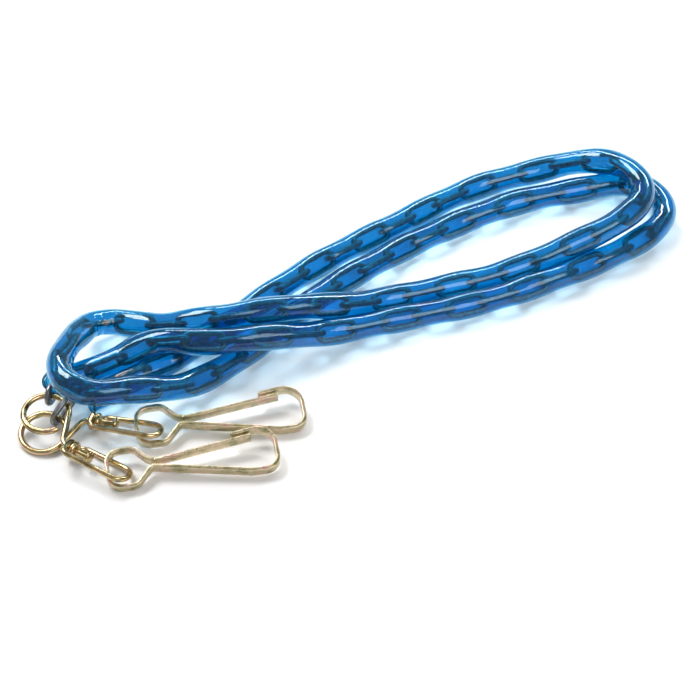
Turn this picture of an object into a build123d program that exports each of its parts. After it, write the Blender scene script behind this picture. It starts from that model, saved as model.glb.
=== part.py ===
"""Safety chain with a snap hook on each end.

A welded short-link chain runs inside a clear PVC sleeve, folded twice and laid flat.
Each end link carries a ring eye, whose headed pin turns in a wire swivel loop, and
the loop carries a flat-strip snap hook. Millimetres, +Z up, resting on z = 0, with
the origin under the middle of the metal fittings.
"""
from build123d import *

import os
from math import atan2, cos, degrees, radians, sin, sqrt, tan

# Chain: wire, inside length of a link and outside width.
LINK_WIRE = 2.0
LINK_INSIDE = 12.0
LINK_WIDTH = 8.0
LINK_STEP = 11.7
LINK_ROLL = 45.0
TWISTED_LINKS = 6
LINK_GRIP_CLEARANCE = 0.2
END_LINK_SLACK = 0.4
CHAIN_GROUPS = 8

# Sleeve over the chain.
SLEEVE_OD = 9.0
SLEEVE_WALL = 0.45

# Ring eye: bent wire ring, slanted neck and a straight pin with a domed head.
RING_WIRE = 2.1
RING_RADIUS = 7.5
RING_GAP = 47.0
NECK_BEND = 65.0
NECK_LENGTH = 11.7
NECK_RADIUS = 2.6
PIN_BEHIND = 3.9
PIN_AHEAD = 6.4
HEAD_RADIUS = 2.4
HEAD_THICK = 1.5

# Swivel loop: two turns round the pin and a long bow.
LOOP_WIRE = 1.9
LOOP_LENGTH = 23.0
LOOP_HALF_WIDTH = 5.7
LOOP_END_HALF_WIDTH = 4.6
RUNNING_CLEARANCE = 0.1

# Snap hook: one flat strip, doubled at the neck.
STRIP_WIDTH = 3.1
STRIP_THICK = 1.3
HOOK_LENGTH = 56.6
EYE_HALF_WIDTH = 6.9
BOW_HALF_WIDTH = 7.9
NECK_X = 15.0
NECK_HALF_GAP = 0.85
BACK_LEG_END = 47.0
GATE_TIP = (48.3, 4.9)
NOSE_TIP = (42.0, 6.3)
GATE_CLEARANCE = 0.2

# Each set of fittings: middle of the swivel coil, the pin's heading and pitch, the
# rolls of ring eye and loop about it, the angle round the ring where the end link
# hangs and that link's roll, pitch and heading, where the wall of the hook's eye
# crosses the loop (along, across and above the pin's axis), and the hook's angles.
SETS = {
    "upper": {
        "coil": (-21.8, 6.8, 3.95),
        "heading": -12.0,
        "pitch": 0.0,
        "ring_roll": 11.0,
        "loop_roll": -20.8,
        "grip_angle": 67.8,
        "link_angles": (98.4, -26.7, 50.1),
        "eye_wall": (14.1, 0.0, -0.15),
        "hook_angles": (13.0, 0.0, 10.4),
    },
    "lower": {
        "coil": (-28.6, -5.9, 4.35),
        "heading": -31.8,
        "pitch": 2.6,
        "ring_roll": 186.3,
        "loop_roll": -24.2,
        "grip_angle": 243.4,
        "link_angles": (88.4, 11.5, 73.2),
        "eye_wall": (15.1, -1.2, -0.5),
        "hook_angles": (13.1, -1.2, 10.4),
    },
}

# Route of the chain and its sleeve, end to end, chosen by hand.
LOW = 4.5
HIGH = 14.4
ROUTE = [
    (-36.5, 24, LOW), (-20, 31, LOW), (-4, 37, 12.5), (15, 37, HIGH), (33, 38, HIGH),
    (53, 46, 6), (80, 52, LOW), (108, 61, LOW), (134, 72, LOW), (158, 85, LOW),
    (173, 99, LOW), (175, 116, LOW), (163, 126, LOW), (145, 121, LOW), (122, 115, LOW),
    (96, 101, LOW), (71, 83, LOW), (48, 63, LOW), (25, 35, LOW), (8, 20, 6),
    (-6, 13, 13), (-21, 10, 17), (-33, 18, 17), (-33, 34, 13), (-22, 46, 5),
    (-5, 51, LOW), (11, 51, 12), (27, 52, 15), (46, 56, 15), (67, 64, 6),
    (90, 69, LOW), (116, 78, LOW), (138, 87, 9), (155, 96, HIGH), (166, 109, HIGH),
    (162, 123, 15.5), (148, 134, 10), (128, 133, LOW), (105, 122, LOW), (78, 102, LOW),
    (51, 80, LOW), (25, 53, LOW), (0, 32, LOW), (-24.5, 15.5, 5),
]


def corner_radii(points):
    """Largest arc for each corner: 0.45 of the shorter run over the half-turn's tangent."""
    radii = []
    corners = zip(points, points[1:], points[2:])
    for before, here, after in corners:
        run_in = Vector(here) - Vector(before)
        run_out = Vector(after) - Vector(here)
        half_turn = radians(run_in.get_angle(run_out)) / 2
        radii.append(0.45 * min(run_in.length, run_out.length) / tan(half_turn))
    return radii


def rounded_path(points, radii=None):
    """Straight runs joined by tangent arcs, as one wire."""
    return Wire(FilletPolyline(*points, radius=radii or corner_radii(points)).edges())


def tube(path, radius):
    """Round bar along a wire."""
    start = Plane(path @ 0, z_dir=path % 0)
    return sweep(start * Circle(radius), path=path)


def placed(position, angles):
    """Location from a point and its roll, pitch and heading."""
    roll, pitch, heading = angles
    return Pos(*position) * Rot(0, 0, heading) * Rot(0, pitch, 0) * Rot(roll, 0, 0)


def chain_link():
    """One welded link: long side along X, lying in the XY plane."""
    outline = SlotOverall(LINK_INSIDE + LINK_WIRE, LINK_WIDTH - LINK_WIRE).wire()
    return tube(outline, LINK_WIRE / 2)


def link_location(path, along, step):
    """Middle, pitch and heading of the link that is so far along the route."""
    reach = step / 2 / path.length
    middle = along / path.length
    tail = path @ (middle - reach)
    nose = path @ (middle + reach)
    run = (nose - tail).normalized()
    heading = degrees(atan2(run.Y, run.X))
    pitch = -degrees(atan2(run.Z, sqrt(run.X**2 + run.Y**2)))
    return (tail + nose) * 0.5, pitch, heading


def link_roll(number, count):
    """Each link is a quarter turn from its neighbour; the ends twist to meet the rings."""
    untwist = max(0, 1 - (number + 0.5) / TWISTED_LINKS)
    twist = max(0, 1 - (count - number - 0.5) / TWISTED_LINKS)
    return LINK_ROLL * (1 - untwist + twist) + 90 * (number % 2)


def chain_links(first_joint, last_joint):
    """The links between the two end links."""
    path = rounded_path([first_joint, *ROUTE[1:-1], last_joint])
    link = chain_link()
    count = 2 * round(path.length / LINK_STEP / 2)
    step = path.length / count
    print(count, "links", round(step, 2), "apart")
    links = []
    for number in range(count):
        middle, pitch, heading = link_location(path, (number + 0.5) * step, step)
        angles = (link_roll(number, count), pitch, heading)
        links.append(placed(tuple(middle), angles) * link)
    return links


def sleeve(path):
    """Thin open-ended tube along the whole route."""
    return tube(path, SLEEVE_OD / 2) - tube(path, SLEEVE_OD / 2 - SLEEVE_WALL)


def domed_head():
    """Rivet-like head on the pin's end, its flat side facing back along X."""
    rim = 0.4
    crown = ThreePointArc(
        (HEAD_THICK, 0),
        (rim + 0.72 * (HEAD_THICK - rim), 0.64 * HEAD_RADIUS),
        (rim, HEAD_RADIUS),
    )
    sides = Polyline((rim, HEAD_RADIUS), (0, HEAD_RADIUS), (0, 0), (HEAD_THICK, 0))
    return revolve(make_face([*crown.edges(), *sides.edges()]), axis=Axis.X)


def ring_middle():
    """Middle of the ring, in the frame of the coil and pin."""
    bend = radians(NECK_BEND)
    along = -(RING_RADIUS * sin(bend) + NECK_LENGTH * cos(bend) + PIN_BEHIND)
    across = RING_RADIUS * cos(bend) - NECK_LENGTH * sin(bend)
    return along, across


def ring_eye():
    """Open ring with a slanted neck and a headed pin; the coil's middle is the origin."""
    leave = NECK_BEND - 90
    ring = CenterArc(ring_middle(), RING_RADIUS, leave + RING_GAP, 360 - RING_GAP)
    neck = FilletPolyline(
        ring @ 1, (-PIN_BEHIND, 0), (PIN_AHEAD + HEAD_THICK / 2, 0), radius=NECK_RADIUS
    )
    bar = tube(Wire([*ring.edges(), *neck.edges()]), RING_WIRE / 2)
    return bar + Pos(PIN_AHEAD, 0, 0) * domed_head()


def swivel_loop():
    """Wire loop along +X whose two ends each take a turn round the pin."""
    turn_radius = (RING_WIRE + LOOP_WIRE) / 2 + RUNNING_CLEARANCE
    side = LOOP_WIRE / 2 + 0.02
    end = LOOP_LENGTH - LOOP_WIRE / 2
    far_leg = [
        (side, 0, -turn_radius),
        (side, LOOP_HALF_WIDTH, -1.0),
        (0.6 * end, 5.1, -0.4),
        (end, LOOP_END_HALF_WIDTH, 0),
    ]
    near_leg = [(x, -y, -z) for x, y, z in far_leg[1:]]
    near_leg = [*near_leg[::-1], (-side, 0, turn_radius)]
    near_leg[-2] = (-side, -LOOP_HALF_WIDTH, 1.0)
    corner_sizes = [2.4, 20.0, 4.2, 4.2, 20.0, 2.4]
    bow = tube(rounded_path([*far_leg, *near_leg], corner_sizes), LOOP_WIRE / 2)
    turn = Rot(0, 90, 0) * Torus(turn_radius, LOOP_WIRE / 2)
    return bow + Pos(side, 0, 0) * turn + Pos(-side, 0, 0) * turn


def strip(points, radii):
    """Flat strip on edge along a route in the XY plane, its width along Z."""
    path = rounded_path(points, radii)
    start = Plane(path @ 0, x_dir=(0, 0, 1), z_dir=path % 0)
    return sweep(start * Rectangle(STRIP_WIDTH, STRIP_THICK), path=path)


def snap_hook():
    """Eye, back leg, bow and nose, bent from one strip; the eye's end is x = 0."""
    first = STRIP_THICK / 2
    end = HOOK_LENGTH - STRIP_THICK / 2
    outline = [
        (NECK_X, NECK_HALF_GAP),
        (9.6, EYE_HALF_WIDTH),
        (first, EYE_HALF_WIDTH - 0.2),
        (first, -EYE_HALF_WIDTH + 0.2),
        (9.6, -EYE_HALF_WIDTH),
        (NECK_X, -NECK_HALF_GAP),
        (BACK_LEG_END, -BOW_HALF_WIDTH),
        (end, -BOW_HALF_WIDTH - 0.2),
        (end, BOW_HALF_WIDTH + 0.2),
        NOSE_TIP,
    ]
    back = hypotenuse_step(outline[0], outline[1], STRIP_THICK / 2 + GATE_CLEARANCE)
    outline[0] = back
    return strip(outline, [3.5, 5.8, 5.8, 3.5, 2.0, 8.0, 7.2, 7.2])


def hypotenuse_step(start, towards, distance):
    """Point so far from start on the way towards another."""
    run_x, run_y = towards[0] - start[0], towards[1] - start[1]
    scale = distance / sqrt(run_x**2 + run_y**2)
    return (start[0] + run_x * scale, start[1] + run_y * scale)


def gate():
    """Springy leg of the same strip from the neck to the nose, with a rounded root."""
    root = (NECK_X, NECK_HALF_GAP)
    leg = strip([root, (NECK_X + 8, 1.7), GATE_TIP], [30.0])
    knuckle = Pos(*root, 0) * Cylinder(STRIP_THICK / 2, STRIP_WIDTH)
    return leg + knuckle


def save(name, shape):
    """Write one node."""
    export_step(shape, f"parts/{name}.step")


def on_pin(place, roll):
    """Frame at the middle of the coil, X along the pin, turned about it by roll."""
    return placed(place["coil"], (0, place["pitch"], place["heading"])) * Rot(roll, 0, 0)


def end_link_location(place):
    """The end link hangs on its ring, which lies in the link's rounded end."""
    reach = (LINK_INSIDE - RING_WIRE) / 2 - LINK_GRIP_CLEARANCE
    ring = on_pin(place, place["ring_roll"]) * Pos(*ring_middle(), 0)
    grip = ring * Rot(0, 0, place["grip_angle"]) * Pos(RING_RADIUS, 0, 0)
    return placed(tuple(grip.position), place["link_angles"]) * Pos(reach, 0, 0)


def far_joint(place):
    """Where the end link meets the last link in the sleeve."""
    reach = LINK_STEP / 2 - END_LINK_SLACK
    return tuple((end_link_location(place) * Pos(reach, 0, 0)).position)


def hook_location(place):
    """The end wall of the hook's eye crosses the loop, one leg over it, one under."""
    wall = (on_pin(place, 0) * Pos(*place["eye_wall"])).position
    return placed(tuple(wall), place["hook_angles"]) * Pos(-STRIP_THICK / 2, 0, 0)


def build_set(name, place):
    """End link, ring eye, swivel loop, snap hook and gate of one end."""
    hook = hook_location(place)
    save(f"{name}_end_link", end_link_location(place) * chain_link())
    save(f"{name}_ring_eye", on_pin(place, place["ring_roll"]) * ring_eye())
    save(f"{name}_swivel_loop", on_pin(place, place["loop_roll"]) * swivel_loop())
    save(f"{name}_snap_hook", hook * snap_hook())
    save(f"{name}_gate", hook * gate())


def main():
    os.makedirs("parts", exist_ok=True)
    path = rounded_path(ROUTE)
    print("route", round(path.length, 1), [round(r, 1) for r in corner_radii(ROUTE)])
    save("sleeve", sleeve(path))
    links = chain_links(far_joint(SETS["lower"]), far_joint(SETS["upper"]))
    per_group = -(-len(links) // CHAIN_GROUPS)
    for group in range(CHAIN_GROUPS):
        share = links[group * per_group : (group + 1) * per_group]
        save(f"chain_links_{group + 1:02d}", Compound(children=share))
    for name, place in SETS.items():
        build_set(name, place)


main()
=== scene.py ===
"""Safety chain in a clear blue sleeve, with a swivel and a snap hook at each end."""

import math

import bpy
import numpy as np
from mathutils import Matrix, Vector, noise


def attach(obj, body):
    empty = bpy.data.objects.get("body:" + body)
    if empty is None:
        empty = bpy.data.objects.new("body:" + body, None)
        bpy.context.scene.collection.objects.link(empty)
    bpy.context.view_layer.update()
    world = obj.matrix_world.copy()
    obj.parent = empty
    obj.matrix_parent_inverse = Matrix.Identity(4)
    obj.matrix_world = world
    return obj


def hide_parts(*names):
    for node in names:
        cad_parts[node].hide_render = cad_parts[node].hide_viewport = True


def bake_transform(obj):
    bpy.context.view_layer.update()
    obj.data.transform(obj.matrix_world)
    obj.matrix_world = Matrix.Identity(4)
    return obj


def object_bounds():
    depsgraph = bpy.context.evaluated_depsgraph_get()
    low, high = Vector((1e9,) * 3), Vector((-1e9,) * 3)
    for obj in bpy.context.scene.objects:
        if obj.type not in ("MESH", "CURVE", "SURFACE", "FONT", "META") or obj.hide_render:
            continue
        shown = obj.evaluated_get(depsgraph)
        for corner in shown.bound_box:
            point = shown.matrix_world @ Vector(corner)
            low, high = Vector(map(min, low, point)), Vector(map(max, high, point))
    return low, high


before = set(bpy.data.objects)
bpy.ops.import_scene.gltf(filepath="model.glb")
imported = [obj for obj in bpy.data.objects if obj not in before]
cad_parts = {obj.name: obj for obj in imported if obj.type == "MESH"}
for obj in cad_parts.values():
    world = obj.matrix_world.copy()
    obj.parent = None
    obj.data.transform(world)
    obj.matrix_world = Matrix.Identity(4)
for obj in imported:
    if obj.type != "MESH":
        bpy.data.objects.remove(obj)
cad_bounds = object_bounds()

MM = 0.001
SETS = ("upper", "lower")

# Chain, in millimetres, as it is on the real object.
LINK_WIRE = 2.0
LINK_LENGTH = 14.0
LINK_WIDTH = 5.6
LINK_COUNT = 84
LINK_ROLL = math.radians(45)
TWISTED_LINKS = 6
CHAIN_GROUPS = 8

# Sleeve: mean radius, how far a link pushes it out of round, and its wall.
SLEEVE_RADIUS = 4.5
SLEEVE_BULGE = 0.22
SLEEVE_WALL = 0.45
RING_SPACING = 0.8
FLAP_ANGLE = 2.2
FLAP_LENGTH = 4.8
FLOOR_CLEARANCE = 0.06
ROUND_SEGMENTS = 40

# Ring eye: bent wire ring, slanted neck and a straight pin with a domed head.
RING_WIRE = 2.1
RING_RADIUS = 7.5
RING_GAP = 47.0
NECK_BEND = 65.0
NECK_LENGTH = 11.7
PIN_BEHIND = 3.9
PIN_AHEAD = 6.4
HEAD_RADIUS = 2.4
HEAD_THICK = 1.5

# Swivel loop: a turn round the pin at each end of a long bow.
LOOP_WIRE = 1.9
LOOP_LENGTH = 23.0
TURN_RADIUS = 2.1

# Snap hook: one flat strip, doubled at the neck.
STRIP_WIDTH = 3.1
STRIP_THICK = 1.3
LEG_SPREAD = 0.2
SPREAD_START = 12.0
SPREAD_LENGTH = 7.0
STRIP_EDGE = 0.32
NECK_X = 15.0
HOOK_OUTLINE = [
    (48.3, 4.9, 0), (23.0, 1.7, 30.0), (NECK_X, 0.85, 6.0), (9.6, 6.9, 3.5),
    (0.65, 6.7, 5.8), (0.65, -6.7, 5.8), (9.6, -6.9, 3.5), (NECK_X, -0.85, 2.0),
    (47.0, -7.9, 8.0), (55.95, -8.1, 7.2), (55.95, 8.1, 7.2), (42.0, 6.3, 0),
]

# Where each set of fittings lies: middle of the swivel coil, the pin's pitch and
# heading, the rolls of ring eye and loop about it, where the wall of the hook's eye
# crosses the loop, and the hook's roll, pitch and heading.
PLACES = {
    "upper": {
        "coil": (-21.8, 6.8, 3.95),
        "pin": (0.0, 0.0, -12.0),
        "rolls": (11.0, -20.8),
        "eye_wall": (14.1, 0.0, -0.15),
        "hook": (13.0, 0.0, 10.4),
    },
    "lower": {
        "coil": (-28.6, -5.9, 4.35),
        "pin": (0.0, 2.6, -31.8),
        "rolls": (186.3, -24.2),
        "eye_wall": (15.1, -1.2, -0.5),
        "hook": (13.1, -1.2, 10.4),
    },
}

# Route of the sleeve, in metres.
LOW = 0.0045
HIGH = 0.0144
ROUTE = [
    (-0.0365, 0.024, LOW), (-0.019, 0.031, 0.005), (-0.004, 0.036, 0.0135),
    (0.015, 0.0335, 0.0138), (0.033, 0.0365, 0.014), (0.053, 0.0455, 0.006),
    (0.080, 0.055, LOW), (0.108, 0.0625, LOW), (0.134, 0.0750, LOW), (0.158, 0.0885, LOW),
    (0.173, 0.102, LOW), (0.175, 0.116, LOW), (0.163, 0.126, LOW), (0.145, 0.121, LOW),
    (0.122, 0.115, LOW), (0.096, 0.101, LOW), (0.071, 0.083, LOW), (0.048, 0.063, LOW),
    (0.025, 0.035, LOW), (0.008, 0.020, 0.006), (-0.008, 0.0125, 0.0135),
    (-0.0225, 0.0070, 0.0165), (-0.0315, 0.0115, 0.0172), (-0.0345, 0.0215, 0.0165),
    (-0.0315, 0.0355, 0.0130),
    (-0.0245, 0.0535, 0.0055), (-0.005, 0.0485, 0.0065), (0.011, 0.0430, 0.0145),
    (0.027, 0.0465, 0.015), (0.046, 0.0495, 0.0155), (0.067, 0.060, 0.006),
    (0.090, 0.0685, LOW), (0.116, 0.0768, LOW), (0.138, 0.0850, 0.0098),
    (0.156, 0.0925, HIGH), (0.167, 0.106, HIGH), (0.162, 0.1215, 0.0155),
    (0.148, 0.1315, 0.010), (0.128, 0.1310, LOW), (0.105, 0.122, LOW), (0.078, 0.102, LOW),
    (0.050, 0.082, LOW), (0.024, 0.056, LOW), (0.000, 0.032, LOW),
    (-0.0245, 0.0155, 0.005),
]


# ---------------------------------------------------------------- camera and mesh help

def add_camera():
    """A long lens, 45 degrees down on the middle of the laid chain."""
    target = Vector((0.062, 0.044, 0.0))
    distance = 0.9
    data = bpy.data.cameras.new("camera")
    data.lens = 136.1
    data.sensor_width = 36.0
    camera = bpy.data.objects.new("camera", data)
    bpy.context.scene.collection.objects.link(camera)
    slope = distance * math.sqrt(0.5)
    camera.location = target + Vector((0.0, -slope, slope))
    camera.rotation_euler = (math.radians(45), 0.0, 0.0)
    bpy.context.scene.camera = camera


def new_object(name, vertices, faces, material, body=None):
    """Smooth mesh object in metres that rides on a body, if one is given."""
    mesh = bpy.data.meshes.new(name)
    mesh.from_pydata([tuple(v) for v in vertices], [], faces)
    mesh.validate()
    mesh.shade_smooth()
    mesh.materials.append(material)
    obj = bpy.data.objects.new(name, mesh)
    bpy.context.scene.collection.objects.link(obj)
    if body:
        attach(obj, body)
    return obj


def ring_faces(first, second, count):
    """Quads between two rings of vertices."""
    faces = []
    for i in range(count):
        j = (i + 1) % count
        faces.append((first + i, first + j, second + j, second + i))
    return faces


def sweep(sections, closed=False, caps=True):
    """Skin a list of equal rings of points; returns vertices and faces."""
    count = len(sections[0])
    vertices = [point for section in sections for point in section]
    faces = []
    for number in range(len(sections) - 1):
        faces += ring_faces(number * count, (number + 1) * count, count)
    last = (len(sections) - 1) * count
    if closed:
        faces += ring_faces(last, 0, count)
    elif caps:
        faces.append(tuple(reversed(range(count))))
        faces.append(tuple(range(last, last + count)))
    return vertices, faces


def unit(vector):
    return vector / np.linalg.norm(vector)


def carried_frames(points, start_side):
    """Side and normal at each point, carried along the line without twist."""
    tangents = np.gradient(points, axis=0)
    side = start_side
    result = []
    for tangent in tangents:
        tangent = unit(tangent)
        side = unit(side - tangent * side.dot(tangent))
        result.append((side, np.cross(tangent, side)))
    return result


def wire_sections(points, radii, start_side, segments=20):
    """Round wire along a line of points."""
    angles = np.linspace(0, 2 * math.pi, segments, endpoint=False)
    sections = []
    for point, radius, (side, normal) in zip(
        points, radii, carried_frames(points, start_side)
    ):
        rings = np.outer(np.cos(angles), side) + np.outer(np.sin(angles), normal)
        sections.append(point + radius * rings)
    return sections


# ------------------------------------------------------------------------ materials

def new_material(name):
    """Material with a Principled shader; returns it, its nodes, links and shader."""
    material = bpy.data.materials.new(name)
    material.use_nodes = True
    tree = material.node_tree
    return material, tree.nodes, tree.links, tree.nodes["Principled BSDF"]


def object_noise(nodes, links, scale, detail, stretch=(1.0, 1.0, 1.0)):
    """Noise over the object's own coordinates, in metres."""
    where = nodes.new("ShaderNodeTexCoord")
    mapping = nodes.new("ShaderNodeMapping")
    mapping.inputs["Scale"].default_value = stretch
    texture = nodes.new("ShaderNodeTexNoise")
    texture.inputs["Scale"].default_value = scale
    texture.inputs["Detail"].default_value = detail
    links.new(where.outputs["Object"], mapping.inputs["Vector"])
    links.new(mapping.outputs["Vector"], texture.inputs["Vector"])
    return texture


def colour_ramp(nodes, links, source, stops):
    """Colours spread over a value from 0 to 1."""
    ramp = nodes.new("ShaderNodeValToRGB")
    while len(ramp.color_ramp.elements) < len(stops):
        ramp.color_ramp.elements.new(0.5)
    for element, (position, colour) in zip(ramp.color_ramp.elements, stops):
        element.position = position
        element.color = (*colour, 1.0)
    links.new(source, ramp.inputs["Fac"])
    return ramp


def add_bump(nodes, links, shader, height, strength, distance):
    bump = nodes.new("ShaderNodeBump")
    bump.inputs["Strength"].default_value = strength
    bump.inputs["Distance"].default_value = distance
    links.new(height, bump.inputs["Height"])
    links.new(bump.outputs["Normal"], shader.inputs["Normal"])


def yellow_zinc(name, stops, roughness):
    """Yellow chromated zinc: pale gold that drifts to olive and pink."""
    material, nodes, links, shader = new_material(name)
    tint = object_noise(nodes, links, 230.0, 2.0, (1.0, 1.0, 1.4))
    ramp = colour_ramp(nodes, links, tint.outputs["Fac"], stops)
    links.new(ramp.outputs["Color"], shader.inputs["Base Color"])
    shader.inputs["Metallic"].default_value = 1.0
    wear = object_noise(nodes, links, 900.0, 4.0)
    rough = nodes.new("ShaderNodeMapRange")
    rough.inputs["To Min"].default_value = roughness - 0.07
    rough.inputs["To Max"].default_value = roughness + 0.1
    links.new(wear.outputs["Fac"], rough.inputs["Value"])
    links.new(rough.outputs["Result"], shader.inputs["Roughness"])
    add_bump(nodes, links, shader, wear.outputs["Fac"], 0.25, 0.00008)
    return material


def link_steel():
    """Bright zinc on the chain's links."""
    material, nodes, links, shader = new_material("chain_zinc")
    speckle = object_noise(nodes, links, 700.0, 5.0)
    stops = [(0.3, (0.12, 0.13, 0.14)), (0.7, (0.34, 0.35, 0.36))]
    ramp = colour_ramp(nodes, links, speckle.outputs["Fac"], stops)
    links.new(ramp.outputs["Color"], shader.inputs["Base Color"])
    shader.inputs["Metallic"].default_value = 1.0
    shader.inputs["Roughness"].default_value = 0.3
    add_bump(nodes, links, shader, speckle.outputs["Fac"], 0.3, 0.0001)
    return material


def blue_pvc():
    """Clear blue flexible PVC with a high gloss."""
    material, nodes, links, shader = new_material("blue_pvc")
    drift = object_noise(nodes, links, 60.0, 2.0)
    stops = [(0.3, (0.012, 0.37, 0.66)), (0.7, (0.030, 0.45, 0.72))]
    ramp = colour_ramp(nodes, links, drift.outputs["Fac"], stops)
    links.new(ramp.outputs["Color"], shader.inputs["Base Color"])
    shader.inputs["Transmission Weight"].default_value = 0.97
    shader.inputs["IOR"].default_value = 1.5
    shader.inputs["Roughness"].default_value = 0.04
    ripple = object_noise(nodes, links, 260.0, 2.0)
    add_bump(nodes, links, shader, ripple.outputs["Fac"], 0.2, 0.0004)
    clear = nodes.new("ShaderNodeBsdfTransparent")
    clear.inputs["Color"].default_value = (0.93, 0.96, 0.98, 1.0)
    rays = nodes.new("ShaderNodeLightPath")
    mix = nodes.new("ShaderNodeMixShader")
    links.new(rays.outputs["Is Shadow Ray"], mix.inputs["Fac"])
    links.new(shader.outputs["BSDF"], mix.inputs[1])
    links.new(clear.outputs["BSDF"], mix.inputs[2])
    links.new(mix.outputs["Shader"], nodes["Material Output"].inputs["Surface"])
    return material


def floor_material():
    material, nodes, links, shader = new_material("floor")
    grain = object_noise(nodes, links, 40.0, 3.0)
    stops = [(0.3, (0.90, 0.90, 0.90)), (0.7, (0.93, 0.93, 0.93))]
    ramp = colour_ramp(nodes, links, grain.outputs["Fac"], stops)
    links.new(ramp.outputs["Color"], shader.inputs["Base Color"])
    shader.inputs["Roughness"].default_value = 0.6
    return material


WIRE_GOLD = [
    (0.30, (0.21, 0.165, 0.08)),
    (0.45, (0.53, 0.41, 0.20)),
    (0.58, (0.68, 0.52, 0.29)),
    (0.72, (0.58, 0.35, 0.26)),
]
STRIP_GOLD = [
    (0.30, (0.31, 0.29, 0.16)),
    (0.45, (0.61, 0.53, 0.33)),
    (0.58, (0.74, 0.61, 0.43)),
    (0.72, (0.69, 0.41, 0.36)),
]


# -------------------------------------------------------------------- the laid sleeve

def spline_points():
    """Points read from the route's smooth line."""
    curve = bpy.data.curves.new("route", "CURVE")
    curve.dimensions = "3D"
    curve.resolution_u = 16
    spline = curve.splines.new("NURBS")
    spline.points.add(len(ROUTE) - 1)
    for point, place in zip(spline.points, ROUTE):
        point.co = (*place, 1.0)
    spline.order_u = 3
    spline.use_endpoint_u = True
    holder = bpy.data.objects.new("route", curve)
    mesh = bpy.data.meshes.new_from_object(holder)
    points = np.array([tuple(v.co) for v in mesh.vertices])
    bpy.data.meshes.remove(mesh)
    bpy.data.objects.remove(holder)
    bpy.data.curves.remove(curve)
    return points


class Line:
    """A line through points, read by distance along it in millimetres."""

    def __init__(self, points):
        self.points = points / MM
        steps = np.linalg.norm(np.diff(self.points, axis=0), axis=1)
        self.along = np.concatenate([[0.0], np.cumsum(steps)])
        self.length = self.along[-1]

    def at(self, distance):
        inside = np.clip(distance, 0.0, self.length)
        point = np.array([np.interp(inside, self.along, c) for c in self.points.T])
        if distance != inside:
            point = point + self.tangent(inside) * (distance - inside)
        return point

    def tangent(self, distance):
        reach = 1.5
        low = max(0.0, distance - reach)
        high = min(self.length, distance + reach)
        return unit(self.at(high) - self.at(low))

    def axes(self, distance):
        """Tangent, level side and the third axis."""
        tangent = self.tangent(distance)
        side = unit(np.array([-tangent[1], tangent[0], 0.0]))
        return tangent, side, np.cross(tangent, side)

    def bend(self, distance):
        """Curvature vector: towards the inside of the bend, in 1/mm."""
        reach = 4.0
        low = min(max(distance, reach), self.length - reach)
        before, here, after = self.at(low - reach), self.at(low), self.at(low + reach)
        return (before + after - 2 * here) / reach**2


def link_roll(number):
    """Links lie at a quarter turn to each other, and untwist at the ends."""
    untwist = max(0.0, 1 - (number + 0.5) / TWISTED_LINKS)
    twist = max(0.0, 1 - (LINK_COUNT - number - 0.5) / TWISTED_LINKS)
    return LINK_ROLL * (1 - untwist + twist)


def far_joint(node, mouth):
    """Where an end link meets the next link: near its end towards the mouth."""
    points = np.array([tuple(v.co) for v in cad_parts[node].data.vertices]) / MM
    middle = (points.max(axis=0) + points.min(axis=0)) / 2
    axes = np.linalg.svd(points - points.mean(axis=0), full_matrices=False)[2]
    along = axes[0] if axes[0].dot(mouth - middle) > 0 else -axes[0]
    return middle + along * 5.45


def sleeve_radius(line, distance, angle, step, axes):
    """Pushed out by the links, flattened and creased on the inside of tight bends."""
    number = distance / step - 0.5
    turn = math.cos(2 * (angle - link_roll(number))) * math.cos(math.pi * number)
    radius = SLEEVE_RADIUS + SLEEVE_BULGE * turn
    radius += 0.10 * noise.noise(Vector((distance * 0.06, angle * 0.8, 3.7)))
    bend = line.bend(distance)
    strength = float(np.linalg.norm(bend))
    tight = min(1.0, max(0.0, (strength - 0.02) / 0.06))
    if tight > 0:
        inner = math.atan2(bend.dot(axes[2]), bend.dot(axes[1]))
        facing = max(0.0, math.cos(angle - inner)) ** 2
        crease = 0.5 + 0.5 * math.cos(2 * math.pi * distance / 4.7)
        sides = math.sin(angle - inner) ** 2
        radius -= tight * facing * (0.15 + 0.7 * crease**4)
        radius += tight * 0.3 * (sides - 0.5)
    return radius


def build_sleeve(line, material):
    """Thin-walled tube along the line, with a torn flap at its first mouth."""
    step = line.length / LINK_COUNT
    angles = np.linspace(0, 2 * math.pi, ROUND_SEGMENTS, endpoint=False)
    outer, inner = [], []
    rings = int(line.length / RING_SPACING)
    for number in range(rings + 1):
        distance = line.length * number / rings
        tangent, side, normal = axes = line.axes(distance)
        near_start = math.exp(-distance / 2.2)
        near_end = math.exp(-(line.length - distance) / 2.2)
        point = line.at(distance)
        outer_ring, inner_ring = [], []
        for angle in angles:
            radius = sleeve_radius(line, distance, angle, step, axes)
            radius += 0.3 * max(near_start, near_end)
            radial = math.cos(angle) * side + math.sin(angle) * normal
            flap = max(0.0, math.cos(angle - FLAP_ANGLE)) ** 2
            slant = -FLAP_LENGTH * flap * near_start + 0.9 * math.cos(angle) * near_end
            shift = slant * tangent + 0.5 * flap * near_start * radial
            for ring, size in ((outer_ring, radius), (inner_ring, radius - SLEEVE_WALL)):
                place = point + size * radial + shift
                low = FLOOR_CLEARANCE + (0.0 if ring is outer_ring else SLEEVE_WALL)
                place[2] = max(place[2], low)
                ring.append(place * MM)
        outer.append(outer_ring)
        inner.append(inner_ring)
    vertices, faces = sweep(outer + inner[::-1], closed=True)
    return new_object("sleeve_skin", vertices, faces, material, "chain")


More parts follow.
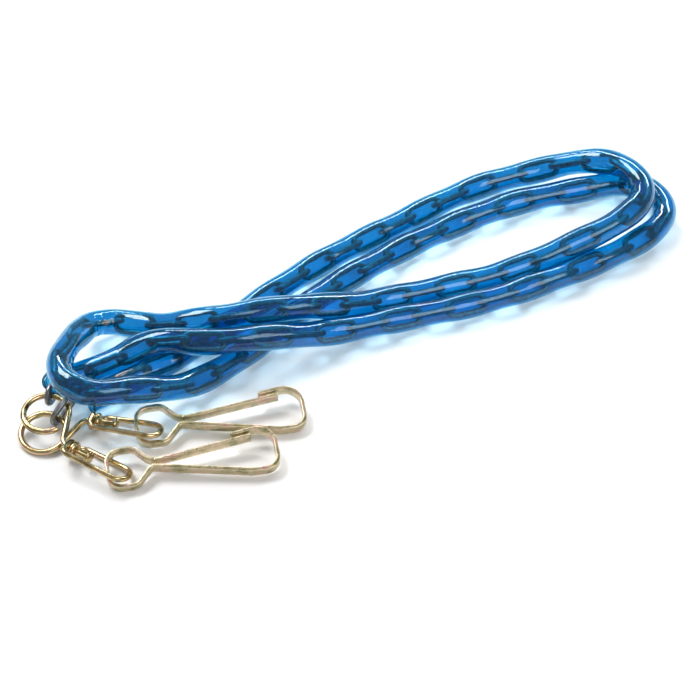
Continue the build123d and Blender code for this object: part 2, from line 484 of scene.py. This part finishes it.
def link_mesh(middle, axes, roll):
    """One welded link: a stadium of wire with a bead where it is welded."""
    tangent, side, normal = axes
    wide = math.cos(roll) * side + math.sin(roll) * normal
    deep = np.cross(tangent, wide)
    straight = (LINK_LENGTH - LINK_WIDTH) / 2
    bow = LINK_WIDTH / 2
    turns = np.linspace(-math.pi / 2, math.pi / 2, 9)
    outline = [(straight + bow * math.cos(a), bow * math.sin(a)) for a in turns]
    top = [(x, bow) for x in np.linspace(straight, -straight, 9)[1:-1]]
    far = [(-x, -y) for x, y in outline]
    bottom = [(-x, -y) for x, y in top]
    loop = outline + top + far + bottom
    angles = np.linspace(0, 2 * math.pi, 12, endpoint=False)
    sections = []
    for index, (x, y) in enumerate(loop):
        after = np.array(loop[(index + 1) % len(loop)])
        before = np.array(loop[index - 1])
        run = unit(after - before)
        out = np.array([run[1], -run[0]])
        bead = 0.16 * math.exp(-((x / 0.9) ** 2)) if y == bow else 0.0
        radius = LINK_WIRE / 2 + bead
        centre = middle + x * tangent + y * wide
        outward = out[0] * tangent + out[1] * wide
        ring = np.outer(np.cos(angles), outward) + np.outer(np.sin(angles), deep)
        sections.append((centre + radius * ring) * MM)
    return sweep(sections, closed=True)


def build_links(line, material):
    """The chain inside the sleeve, in groups that stand for the CAD's."""
    start = far_joint("lower_end_link", line.at(0.0))
    end = far_joint("upper_end_link", line.at(line.length))
    step = line.length / LINK_COUNT

    def joint(number):
        distance = number * step
        point = line.at(distance)
        point = point + (start - line.at(0.0)) * max(0.0, 1 - number / 3)
        return point + (end - line.at(line.length)) * max(0.0, 1 - (LINK_COUNT - number) / 3)

    groups = []
    per_group = -(-LINK_COUNT // CHAIN_GROUPS)
    for group in range(CHAIN_GROUPS):
        vertices, faces = [], []
        for number in range(group * per_group, min(LINK_COUNT, (group + 1) * per_group)):
            tail, nose = joint(number), joint(number + 1)
            tangent = unit(nose - tail)
            side = unit(np.array([-tangent[1], tangent[0], 0.0]))
            axes = tangent, side, np.cross(tangent, side)
            roll = link_roll(number) + math.pi / 2 * (number % 2)
            on_line = line.at((number + 0.5) * step)
            middle = 0.25 * (tail + nose) + 0.5 * on_line
            link_vertices, link_faces = link_mesh(middle, axes, roll)
            shift = len(vertices)
            vertices += link_vertices
            faces += [tuple(shift + i for i in face) for face in link_faces]
        name = f"welded_links_{group + 1:02d}"
        obj = new_object(name, vertices, faces, material, "chain")
        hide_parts(f"chain_links_{group + 1:02d}")
        groups.append(obj)
    return groups


def lay_chain(pvc, zinc):
    """Sleeve and links along the route."""
    points = spline_points()
    line = Line(points)
    sleeve = build_sleeve(line, pvc)
    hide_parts("sleeve")
    links = build_links(line, zinc)
    ends = [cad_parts[f"{name}_end_link"] for name in SETS]
    for end in ends:
        set_material(end, zinc)
    print("sleeve length", round(line.length, 1), "mm")


def set_material(obj, material):
    """Give a CAD node another finish."""
    obj.data.materials.clear()
    obj.data.materials.append(material)


# -------------------------------------------------------------------------- fittings

def placed(position, angles):
    """Matrix from a point and its roll, pitch and heading in degrees."""
    roll, pitch, heading = (math.radians(a) for a in angles)
    turn = Matrix.Rotation(heading, 4, "Z") @ Matrix.Rotation(pitch, 4, "Y")
    return Matrix.Translation(position) @ turn @ Matrix.Rotation(roll, 4, "X")


def moved(matrix, points):
    """Points in millimetres carried by a matrix, in metres."""
    return [(matrix @ Vector(point)) * MM for point in points]


def bent_line(corners, radii, spacing=0.4):
    """Evenly spaced points along straight runs with eased corners."""
    corners = [np.array(corner, float) for corner in corners]
    line = [corners[0]]
    for before, here, after, radius in zip(corners, corners[1:], corners[2:], radii):
        arrive, leave = unit(here - before), unit(after - here)
        half_turn = math.acos(np.clip(arrive.dot(leave), -1, 1)) / 2
        run = min(np.linalg.norm(here - before), np.linalg.norm(after - here))
        reach = min(radius * math.tan(half_turn), 0.49 * run)
        first, last = here - reach * arrive, here + reach * leave
        for t in np.linspace(0, 1, 15):
            weights = (1 - t) ** 2, 2 * t * (1 - t) * math.cos(half_turn), t**2
            point = weights[0] * first + weights[1] * here + weights[2] * last
            line.append(point / sum(weights))
    line.append(corners[-1])
    return evenly(np.array(line), spacing)


def evenly(line, spacing):
    steps = np.linalg.norm(np.diff(line, axis=0), axis=1)
    along = np.concatenate([[0.0], np.cumsum(steps)])
    places = np.linspace(0, along[-1], max(2, int(along[-1] / spacing)))
    return np.array([np.interp(places, along, column) for column in line.T]).T


def eased_ends(count, radius, start=True, end=True):
    """Radii along a bar whose cut ends are slightly rounded."""
    radii = np.full(count, radius)
    if start:
        radii[:2] = radius * 0.62, radius * 0.93
    if end:
        radii[-2:] = radius * 0.93, radius * 0.62
    return radii


def round_bar(name, points, radii, matrix, material, body, extra=None):
    """Round wire along a line, with another skinned part joined on if given."""
    sections = wire_sections(points, radii, np.array([0.0, 0.0, 1.0]))
    vertices, faces = sweep(sections)
    if extra:
        shift = len(vertices)
        vertices += extra[0]
        faces += [tuple(shift + i for i in face) for face in extra[1]]
    return new_object(name, moved(matrix, vertices), faces, material, body)


def domed_head():
    """Upset head on the pin's end: a flat back and a low dome."""
    profile = [(0.0, 0.9), (0.0, 2.1), (0.25, HEAD_RADIUS), (0.7, HEAD_RADIUS)]
    profile += [(1.05, 2.1), (1.3, 1.55), (HEAD_THICK - 0.05, 0.85), (HEAD_THICK, 0.2)]
    angles = np.linspace(0, 2 * math.pi, 32, endpoint=False)
    sections = []
    for x, radius in profile:
        ring = [(PIN_AHEAD + x, radius * math.cos(a), radius * math.sin(a)) for a in angles]
        sections.append([np.array(point) for point in ring])
    return sweep(sections)


def build_ring_eye(name, matrix, material):
    """Open ring, slanted neck and headed pin, bent from one wire."""
    bend = math.radians(NECK_BEND)
    along = -(RING_RADIUS * math.sin(bend) + NECK_LENGTH * math.cos(bend) + PIN_BEHIND)
    across = RING_RADIUS * math.cos(bend) - NECK_LENGTH * math.sin(bend)
    leave = bend - math.pi / 2
    turns = np.linspace(leave + math.radians(RING_GAP), leave + 2 * math.pi, 60)
    x, y = along + RING_RADIUS * np.cos(turns), across + RING_RADIUS * np.sin(turns)
    ring = np.column_stack([x, y, np.zeros(60)])
    neck = [ring[-1], (-PIN_BEHIND, 0, 0), (PIN_AHEAD + HEAD_THICK / 2, 0, 0)]
    points = evenly(np.vstack([ring[:-1], bent_line(neck, [4.0])]), 0.4)
    radii = eased_ends(len(points), RING_WIRE / 2, end=False)
    return round_bar(
        f"{name}_bent_eye", points, radii, matrix, material, f"{name}_ring_eye", domed_head()
    )


def build_loop(name, matrix, material):
    """Long bow whose two ends each take a turn round the pin."""
    side = LOOP_WIRE / 2 + 0.02
    end = LOOP_LENGTH - LOOP_WIRE / 2
    turns = np.radians(np.linspace(-335, 0, 48))
    first = [(side, TURN_RADIUS * math.sin(a), -TURN_RADIUS * math.cos(a)) for a in turns]
    legs = [first[-1], (side, 5.7, -1.0), (0.6 * end, 5.1, -0.4), (end, 4.6, 0.0)]
    legs += [(x, -y, -z) for x, y, z in legs[:0:-1]]
    legs[-1] = (-side, -5.7, 1.0)
    legs.append((-side, 0.0, TURN_RADIUS))
    bow = bent_line(legs, [2.4, 20.0, 4.2, 4.2, 20.0, 2.4])
    last = [(-side, -y, -z) for _, y, z in first[::-1]]
    points = evenly(np.vstack([first[:-1], bow, last[1:]]), 0.35)
    radii = eased_ends(len(points), LOOP_WIRE / 2)
    return round_bar(f"{name}_coiled_loop", points, radii, matrix, material,
                     f"{name}_swivel_loop")


def strip_rings(points):
    """Flat strip on edge along a line in the plane, with worn edges."""
    half_thick, edge = STRIP_THICK / 2, STRIP_EDGE
    corners = [(1, 1), (-1, 1), (-1, -1), (1, -1)]
    section = []
    for number, (a, b) in enumerate(corners):
        middle = a * (half_thick - edge), b * (0.5 * STRIP_WIDTH - edge)
        for step in range(5):
            angle = math.pi / 2 * (number + step / 4)
            across = middle[0] + edge * math.cos(angle)
            section.append((across, middle[1] + edge * math.sin(angle)))
    tangents = np.gradient(points, axis=0)
    rings = []
    for point, tangent in zip(points, tangents):
        run = unit(tangent)
        out = np.array([run[1], -run[0]])
        spread = (point[0] - SPREAD_START) / SPREAD_LENGTH
        wider = 1 + LEG_SPREAD * min(1.0, max(0.0, spread))
        rings.append([(*(point + a * out), b * wider) for a, b in section])
    return rings


def build_hook(name, matrix, material):
    """The hook's one strip as two pieces that meet at the neck, where the real gate bends;
    only the bent strip rides on a body.
    """
    corners = [corner[:2] for corner in HOOK_OUTLINE]
    radii = [corner[2] for corner in HOOK_OUTLINE[1:-1]]
    points = bent_line(corners, radii, 0.35)
    split = next(i for i, point in enumerate(points) if point[0] < NECK_X + 1.2)
    gate_body, hook_body = f"{name}_gate", f"{name}_snap_hook"
    pieces = []
    for label, run, body in (
        ("gate_leg", points[: split + 1], None),
        ("bent_strip", points[split:], hook_body),
    ):
        vertices, faces = sweep(strip_rings(run))
        pieces.append(
            new_object(f"{name}_{label}", moved(matrix, vertices), faces, material, body)
        )
    leg, hook = pieces
    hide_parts(f"{name}_gate")
    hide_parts(f"{name}_snap_hook")
    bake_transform(leg)
    return pieces


def build_fittings(wire, strip):
    """Ring eye, swivel loop and snap hook at each end of the chain."""
    for name, place in PLACES.items():
        pin = placed(place["coil"], place["pin"])
        ring_roll, loop_roll = (math.radians(a) for a in place["rolls"])
        wall = pin @ Vector(place["eye_wall"])
        hook = placed(wall, place["hook"]) @ Matrix.Translation((-STRIP_THICK / 2, 0, 0))
        eye = build_ring_eye(name, pin @ Matrix.Rotation(ring_roll, 4, "X"), wire)
        loop = build_loop(name, pin @ Matrix.Rotation(loop_roll, 4, "X"), wire)
        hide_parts(f"{name}_ring_eye")
        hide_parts(f"{name}_swivel_loop")
        for piece in build_hook(name, hook, strip):
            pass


# --------------------------------------------------------------------------- staging

def add_area_light(name, location, size, energy, colour=(1.0, 1.0, 1.0)):
    """Rectangular light that faces the middle of the object."""
    data = bpy.data.lights.new(name, "AREA")
    data.shape = "RECTANGLE"
    data.size, data.size_y = size
    data.energy = energy
    data.color = colour
    light = bpy.data.objects.new(name, data)
    bpy.context.scene.collection.objects.link(light)
    light.location = location
    aim = Vector((0.06, 0.05, 0.0)) - Vector(location)
    light.rotation_euler = aim.to_track_quat("-Z", "Y").to_euler()


def add_stage():
    """Pale floor, white surroundings and soft lights."""
    mesh = bpy.data.meshes.new("floor")
    half = 3.0
    corners = [(-half, -half, 0), (half, -half, 0), (half, half, 0), (-half, half, 0)]
    mesh.from_pydata(corners, [], [(0, 1, 2, 3)])
    mesh.materials.append(floor_material())
    floor = bpy.data.objects.new("floor", mesh)
    floor.location.z = cad_bounds[0][2] - 0.0001
    bpy.context.scene.collection.objects.link(floor)
    world = bpy.data.worlds.new("world")
    bpy.context.scene.world = world
    world.use_nodes = True
    background = world.node_tree.nodes["Background"]
    background.inputs["Color"].default_value = (1.0, 1.0, 1.0, 1.0)
    background.inputs["Strength"].default_value = 0.32
    bpy.context.scene.view_settings.view_transform = "Standard"
    add_area_light("key", (-0.5, 0.5, 0.9), (0.6, 0.4), 10.0)
    add_area_light("strip", (0.3, 0.9, 0.6), (1.2, 0.08), 7.0)
    add_area_light("fill", (0.6, -0.5, 0.8), (0.7, 0.5), 4.0)


def main():
    add_camera()
    zinc = link_steel()
    lay_chain(blue_pvc(), zinc)
    wire = yellow_zinc("yellow_wire", WIRE_GOLD, 0.22)
    strip = yellow_zinc("yellow_strip", STRIP_GOLD, 0.28)
    build_fittings(wire, strip)
    add_stage()


main()
